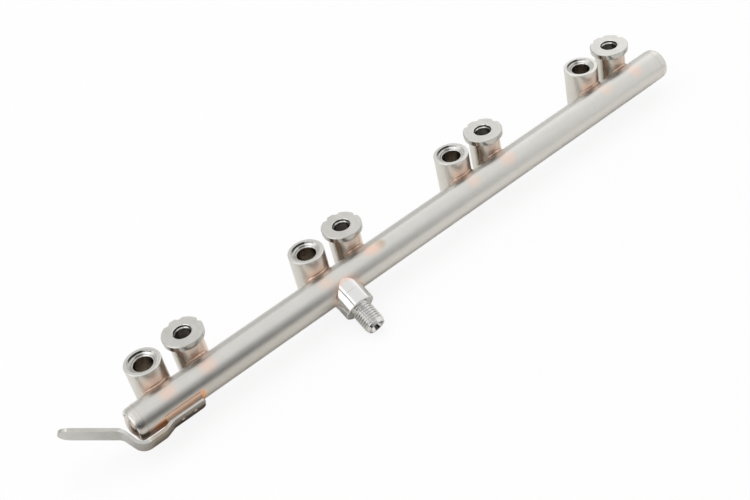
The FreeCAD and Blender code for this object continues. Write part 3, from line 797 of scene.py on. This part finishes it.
def polished_finish():
    """Polished fitting: near mirror, fine turning marks, copper drawn up at its foot, and painted
    shade in the bore, under the collar and in the thread's roots."""
    material, tree, shader, place = new_finish("polished_inlet_steel")
    about = place_group(tree, INLET_PLACE, Place=place)
    along, radius = about["Along"], about["Radius"]
    lines = lathe_lines(tree, radius, along, about["Side"], spacing=0.22)
    wash = joint_wash(tree, place, reach=1.3, ragged=0.35)
    face = times(tree, ease(tree, along, COLLAR_END - 0.1, COLLAR_END),
                 ease(tree, along, COLLAR_END + 0.3, COLLAR_END + 0.1))
    in_bore = times(tree, ease(tree, radius, INLET_BORE_R + 0.8, INLET_BORE_R + 0.1),
                    ease(tree, along, TIP_END - 2.4, TIP_END - 4.0))
    under = times(tree, ease(tree, about["Level"], -1.0, -5.0),
                  ease(tree, along, COLLAR_END + 0.2, COLLAR_END - 0.2))
    groove = times(tree, ease(tree, radius, THREAD_R - 0.1, THREAD_R - 0.6),
                   ease(tree, along, RELIEF_END - 0.3, RELIEF_END - 0.1),
                   ease(tree, along, THREAD_END, THREAD_END - 0.3))
    steel = place_group(tree, WORN_STEEL, Place=place, Steel=POLISHED_STEEL, Grain=lines,
                        Roughness=plus(tree, 0.07, times(tree, face, 0.12)), Mottle=0.04,
                        Copper=times(tree, wash, 0.5))
    # Painted shade in the bore, under the collar and in the thread's roots
    painted_shade_share = most(tree, in_bore, times(tree, under, 0.4), times(tree, groove, 0.22))
    feed_named(tree, shader, Base_Color=tinted(tree, painted_shade_share, steel["Color"], PAINTED_SHADE_DARK),
               Roughness=steel["Roughness"])
    bump(tree, shader, lines, depth=0.00002, strength=0.3)
    return material


def dimple_masks(tree, place):
    """1 in the strip's weld dimples, and 1 in the soiled rings round them."""
    y = STRIP_FACE * math.cos(STRIP_TILT) - WELD_DIMPLE_DROP * math.sin(STRIP_TILT)
    z = STRIP_FACE * math.sin(STRIP_TILT) + WELD_DIMPLE_DROP * math.cos(STRIP_TILT)
    inside = 0.0
    ring = 0.0
    for x in WELD_DIMPLES_X:
        there = (x, float(TUBE_MIDDLE[1] + y), float(TUBE_MIDDLE[2] + z))
        away = vector_calc(tree, "DISTANCE", place, there)[1]
        inside = most(tree, inside, ease(tree, away, WELD_DIMPLE_R * 0.95, WELD_DIMPLE_R * 0.55))
        ring = most(tree, ring, ease(tree, away, WELD_DIMPLE_R * 1.7, WELD_DIMPLE_R))
    return inside, ring


def strip_edges(tree, x, level):
    """The worn bands beside the strip's long edges, and the sheared faces at the edges."""
    wide = ease(tree, x, STRIP_WIDENS_X + 1.5, STRIP_WIDENS_X - 1.5)
    worn = 0.0
    sheared = 0.0
    for narrow_edge, wide_edge in ((STRIP_TOP, TONGUE_TOP), (STRIP_BOTTOM, TONGUE_BOTTOM)):
        at = plus(tree, narrow_edge, times(tree, wide, wide_edge - narrow_edge))
        away = calc(tree, "ABSOLUTE", minus(tree, level, at))
        sheared = most(tree, sheared, ease(tree, away, 0.08, 0.03))
        worn = most(tree, worn, edge_line(tree, level, at, width=0.42))
    return times(tree, worn, kept(tree, sheared)), sheared


def strip_finish():
    """Rolled strip: satin with fine speckle and worn edges, a heat tint on the joggle and round
    its dimples, a heat tint that is partly painted shade on the tab and the lower face with more
    painted shade there, and dimples bright with copper and a painted highlight."""
    material, tree, shader, place = new_finish("rolled_strip_steel")
    x, y, z = parts(tree, place)
    wash = joint_wash(tree, place, reach=1.6, ragged=0.5)
    level = minus(tree, times(tree, minus(tree, z, TUBE_MIDDLE[2]), math.cos(STRIP_TILT)),
                  times(tree, minus(tree, y, TUBE_MIDDLE[1]), math.sin(STRIP_TILT)))
    worn, sheared = strip_edges(tree, x, level)
    dimple, ring = dimple_masks(tree, place)
    copper = total(tree, times(tree, wash, ease(tree, x, TUBE_NEAR_X - 1.6, TUBE_NEAR_X + 1.4)),
                   times(tree, dimple, 0.55))
    on_tab = times(tree, ease(tree, x, TAB_START_X - 5.4, TAB_START_X + 2.6),
                   ease(tree, level, STRIP_TOP - 0.2, STRIP_BOTTOM + 1.05))
    joggle = times(tree, ease(tree, x, TUBE_NEAR_X - 3.6, TUBE_NEAR_X + 0.4),
                   ease(tree, x, TAB_START_X - 1.4, TAB_START_X - 4.4))
    lower_face = times(tree, ease(tree, level, STRIP_TOP - 1.3, STRIP_BOTTOM + 0.55),
                       ease(tree, x, STRIP_WIDENS_X - 5.0, STRIP_WIDENS_X))
    # The heat tint on the tab and the lower face is partly painted shade
    heat = total(tree, times(tree, ring, 0.3), times(tree, on_tab, 0.72),
                 times(tree, sheared, 0.16), times(tree, joggle, 0.4),
                 times(tree, lower_face, 0.34))
    rolled = long_grain(tree, place, (6.0, 0.4, 0.25))
    steel = place_group(tree, WORN_STEEL, Place=place, Steel=STRIP_STEEL, Mottle=0.2,
                        Roughness=plus(tree, 0.32, times(tree, dimple, -0.12)), Grain=rolled,
                        Worn=most(tree, worn, dimple), Heat=times(tree, heat, kept(tree, dimple)),
                        Copper=times(tree, copper, 0.6))
    # Painted shade darkens the tab and the lower face
    painted_shade_share = total(tree, times(tree, on_tab, 0.42), times(tree, lower_face, 0.2))
    colour = tinted(tree, painted_shade_share, steel["Color"], PAINTED_SHADE_DARK)
    # The dimples' bright copper is partly a painted highlight
    feed_named(tree, shader, Base_Color=tinted(tree, dimple, colour, DIMPLE_COPPER_AND_GLINT),
               Roughness=steel["Roughness"], Metallic=kept(tree, dimple, lost=0.7))
    bump(tree, shader, plus(tree, steel["Speckle"], rolled), depth=0.00003, strength=0.5)
    return material


def braze_finish(name, clean, stain_and_shade, bare, shade_by_tube):
    """Furnace copper, clean in some places and with stains in others, with steel showing through a
    share of it, and with a share of the stain colour in the line beside the tube as painted shade."""
    material, tree, shader, place = new_finish(name)
    broad = noise(tree, place, 3.0, detail=3.0, rough=0.6)
    fine = noise(tree, place, 0.5, detail=3.0, rough=0.6)
    patch = blend(tree, broad, fine, 0.75)
    copper = tinted(tree, ease(tree, patch, 0.35, 0.65), clean, stain_and_shade)
    thin = tinted(tree, times(tree, ease(tree, broad, 0.3, 0.6), bare), copper, TUBE_STEEL)
    distance = place_group(tree, TUBE_DISTANCE, Place=place)["Distance"]
    # Painted shade: the stain colour darkens the line beside the tube
    line = times(tree, ease(tree, distance, 0.45, 0.1), shade_by_tube)
    feed_named(tree, shader, Base_Color=tinted(tree, line, thin, stain_and_shade),
               Roughness=plus(tree, 0.22, times(tree, patch, 0.2)))
    bump(tree, shader, fine, depth=0.00002, strength=0.4)
    return material


def seam_finish():
    """The braze along the strip: a deep line where it ends on the tube, pale pink in its hollow
    with a painted highlight, deeper again below and pale at the strip."""
    material, tree, shader, place = new_finish("copper_seam_braze")
    fine = noise(tree, place, 0.8, detail=3.0, rough=0.6)
    broad = noise(tree, place, 4.0)
    turn = place_group(tree, TUBE_DISTANCE, Place=place)["Turn"]
    turn = plus(tree, turn, times(tree, minus(tree, broad, 0.5), 9.0))
    # The hollow's pale pink is partly a painted highlight
    colour = tinted(tree, ease(tree, turn, 10.5, 7.5), SEAM_EDGE, SEAM_HOLLOW_AND_SHEEN)
    colour = tinted(tree, ease(tree, turn, 4.0, -1.0), colour, SEAM_LOWER)
    colour = tinted(tree, ease(tree, turn, -3.0, -7.0), colour, SEAM_FOOT)
    feed_named(tree, shader, Base_Color=colour,
               Roughness=plus(tree, 0.2, times(tree, fine, 0.3)))
    bump(tree, shader, broad, depth=0.0002, strength=0.6)
    return material


def dress():
    """Give every node its finish."""
    finishes = {
        "rail_tube": tube_finish(),
        "mounting_boss": boss_finish(),
        "injector_cup": cup_finish(),
        "end_plug": plug_finish(),
        "inlet_fitting": polished_finish(),
        "stay_bracket": strip_finish(),
        "bracket_braze": seam_finish(),
        "plug_braze": braze_finish("thin_braze", clean=(0.72, 0.66, 0.61, 1),
                                   stain_and_shade=(0.46, 0.40, 0.35, 1), bare=0.7, shade_by_tube=0.0),
        "inlet_braze": braze_finish("pale_braze", clean=(0.84, 0.66, 0.57, 1),
                                    stain_and_shade=(0.62, 0.44, 0.35, 1), bare=0.4, shade_by_tube=0.3),
        "braze": braze_finish("copper_braze", clean=(0.86, 0.64, 0.52, 1),
                              stain_and_shade=(0.34, 0.22, 0.15, 1), bare=0.2, shade_by_tube=0.9),
    }
    for name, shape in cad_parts.items():
        kind = next(kind for kind in finishes if kind in name)
        shape.data.materials.clear()
        shape.data.materials.append(finishes[kind])
    return finishes


# ---------------------------------------------------------------- studio, in metres

CAMERA_PLACE = (-0.09702, -0.38625, 0.37838)
CAMERA_AZIMUTH = math.radians(29.6511)
CAMERA_DEPRESSION = math.radians(40.3388)
CAMERA_ROLL = math.radians(-14.4042)
CAMERA_LENS = 59.415
SENSOR_WIDTH = 36.0

SKY_LEVEL = 0.94
AMBIENT_LEVEL = 0.55
FLOOR_Z = cad_box[0][2]
FLOOR_REACH = 4.0
FLOOR_COLOUR = (0.90, 0.90, 0.90, 1)
FLOOR_IN_METAL = (0.90, 0.885, 0.86, 1)
FLOOR_NEAR_END_SHADOW_IN_METAL = (0.74, 0.715, 0.67, 1)
FLOOR_FRONT_SHADOW_IN_METAL = (0.44, 0.425, 0.40, 1)
FLOOR_GLOW_SEEN = 0.88
CARD_DISTANCE = 1.3
CARD_HALF_LENGTH = 5.0


def add_camera():
    """A camera that looks along an azimuth from +Y towards +X and down by a depression."""
    level = math.cos(CAMERA_DEPRESSION)
    ahead = Vector((
        math.sin(CAMERA_AZIMUTH) * level,
        math.cos(CAMERA_AZIMUTH) * level,
        -math.sin(CAMERA_DEPRESSION),
    ))
    right = Vector((math.cos(CAMERA_AZIMUTH), -math.sin(CAMERA_AZIMUTH), 0))
    up = right.cross(ahead)
    rolled_right = right * math.cos(CAMERA_ROLL) + up * math.sin(CAMERA_ROLL)
    rolled_up = rolled_right.cross(ahead)
    turn = Matrix((rolled_right, rolled_up, -ahead)).transposed()
    data = bpy.data.cameras.new("camera")
    data.lens = CAMERA_LENS
    data.sensor_width = SENSOR_WIDTH
    camera = bpy.data.objects.new("camera", data)
    camera.matrix_world = Matrix.Translation(CAMERA_PLACE) @ turn.to_4x4()
    bpy.context.scene.collection.objects.link(camera)
    bpy.context.scene.camera = camera


def ray_kinds(tree):
    """1 for camera rays, and 1 for glossy and transmission rays."""
    path = tree.nodes.new("ShaderNodeLightPath").outputs
    through = total(tree, path["Is Glossy Ray"], path["Is Transmission Ray"])
    return path["Is Camera Ray"], through


def add_world():
    """White to the camera, nearly as white in metal, and a plain level for the rest."""
    world = bpy.data.worlds.new("studio")
    world.use_nodes = True
    bpy.context.scene.world = world
    tree = world.node_tree
    tree.nodes.clear()
    seen, through = ray_kinds(tree)
    level = plus(tree, AMBIENT_LEVEL, total(
        tree, times(tree, seen, 1.0 - AMBIENT_LEVEL),
        times(tree, through, SKY_LEVEL - AMBIENT_LEVEL)))
    sky = put(tree, "ShaderNodeBackground", {"Color": WHITE, "Strength": level})
    put(tree, "ShaderNodeOutputWorld", {"Surface": sky.outputs[0]})


def level_corners(low_x, high_x, low_y, high_y, z):
    """The corners of a level card that faces up."""
    return [(low_x, low_y, z), (high_x, low_y, z), (high_x, high_y, z), (low_x, high_y, z)]


def upright_corners(side, top):
    """The corners of a long card that stands on the floor and faces the part, in front of it
    where side is -1 and behind it where side is 1."""
    start = side * CARD_HALF_LENGTH
    y = side * CARD_DISTANCE
    return [(start, y, FLOOR_Z), (-start, y, FLOOR_Z), (-start, y, top), (start, y, top)]


def flat_card(name, corners):
    """A card whose material is still empty: the card, the material's tree, and X, Y and Z
    on the card."""
    mesh = bpy.data.meshes.new(name)
    mesh.from_pydata(corners, [], [(0, 1, 2, 3)])
    mesh.update()
    card = bpy.data.objects.new(name, mesh)
    bpy.context.scene.collection.objects.link(card)
    material = bpy.data.materials.new(name)
    material.use_nodes = True
    tree = material.node_tree
    tree.nodes.clear()
    mesh.materials.append(material)
    return card, tree, parts(tree, tree.nodes.new("ShaderNodeTexCoord").outputs["Object"])


def add_floor():
    """White paper: it glows to the camera, and in metal it carries a painted shadow by the near
    end and towards the camera's side.
    """
    reach = FLOOR_REACH
    _, tree, (x, y, _) = flat_card("floor", level_corners(-reach, reach, -reach, reach, FLOOR_Z))
    seen, through = ray_kinds(tree)
    # Painted shadow on the floor as metal shows it: darker by the near end
    near_shadow = times(tree, ease(tree, x, 0.16, 0.03), ease(tree, y, 0.0, -0.03))
    in_metal = tinted(tree, near_shadow, FLOOR_IN_METAL, FLOOR_NEAR_END_SHADOW_IN_METAL)
    to_far_end = ease(tree, x, 0.05, 0.2)
    # and darker towards the camera's side, less so towards the far end
    front = times(tree, ease(tree, y, -0.04, -0.24), kept(tree, to_far_end, lost=0.5))
    in_metal = tinted(tree, front, in_metal, FLOOR_FRONT_SHADOW_IN_METAL)
    paper = put(tree, "ShaderNodeBsdfDiffuse", {
        "Color": tinted(tree, through, FLOOR_COLOUR, in_metal)})
    glow = put(tree, "ShaderNodeEmission", {"Color": WHITE, "Strength": 1.0})
    mix = put(tree, "ShaderNodeMixShader", {
        0: times(tree, seen, FLOOR_GLOW_SEEN), 1: paper.outputs[0], 2: glow.outputs[0]})
    put(tree, "ShaderNodeOutputMaterial", {"Surface": mix.outputs[0]})


def add_card(name, corners, shade, fades):
    """A card seen by reflections only, whose shade fades to the sky's level along axes, each
    from a start to an end."""
    card, tree, place = flat_card(name, corners)
    card.visible_camera = False
    card.visible_diffuse = False
    card.visible_shadow = False
    faded = 0.0
    for axis, start, end in fades:
        faded = most(tree, faded, ease(tree, place["xyz".index(axis)], start, end))
    level = plus(tree, shade, times(tree, faded, SKY_LEVEL - shade))
    glow = put(tree, "ShaderNodeEmission", {"Color": WHITE, "Strength": level})
    put(tree, "ShaderNodeOutputMaterial", {"Surface": glow.outputs[0]})


def add_lamp(name, place, aim, size, watts, in_metal):
    """A soft rectangular lamp that faces its aim, and that metal shows or doesn't."""
    data = bpy.data.lights.new(name, "AREA")
    data.shape = "RECTANGLE"
    data.size, data.size_y = size
    data.energy = watts
    lamp = bpy.data.objects.new(name, data)
    turn = (Vector(place) - Vector(aim)).to_track_quat("Z", "Y")
    lamp.matrix_world = Matrix.Translation(place) @ turn.to_matrix().to_4x4()
    lamp.visible_glossy = in_metal
    bpy.context.scene.collection.objects.link(lamp)


def add_studio():
    """A white room with its camera: three lamps, a black card in front, a grey one behind, and
    a dark seam overhead."""
    add_world()
    add_floor()
    centre = tuple((np.array(cad_box[0]) + np.array(cad_box[1])) / 2)
    add_lamp("overhead", (centre[0], 0.3, 1.6), centre, size=(2.2, 1.4), watts=14.0,
             in_metal=False)
    add_lamp("left_softbox", (-1.1, 0.1, 1.0), centre, size=(1.8, 1.9), watts=5.0,
             in_metal=True)
    add_lamp("right_softbox", (1.5, 0.9, 1.1), centre, size=(1.6, 1.4), watts=2.0,
             in_metal=True)
    add_card("camera_side_card", upright_corners(side=-1, top=2.4), shade=0.0,
             fades=[("x", 0.28, 1.05), ("z", 0.15, 2.3)])
    add_card("rear_card", upright_corners(side=1, top=1.6), shade=0.62,
             fades=[("x", 0.6, 2.0), ("z", 0.6, 1.6)])
    add_card("ceiling_seam", level_corners(-0.70, -0.56, -0.6, 0.6, z=0.95), shade=0.1,
             fades=[])
    add_camera()
    bpy.context.scene.view_settings.view_transform = "Standard"


inlet = inlet_piece()
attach(inlet, "root")
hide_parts("inlet_fitting")
FINISHES = dress()
inlet.data.materials.append(FINISHES["inlet_fitting"])
add_studio()
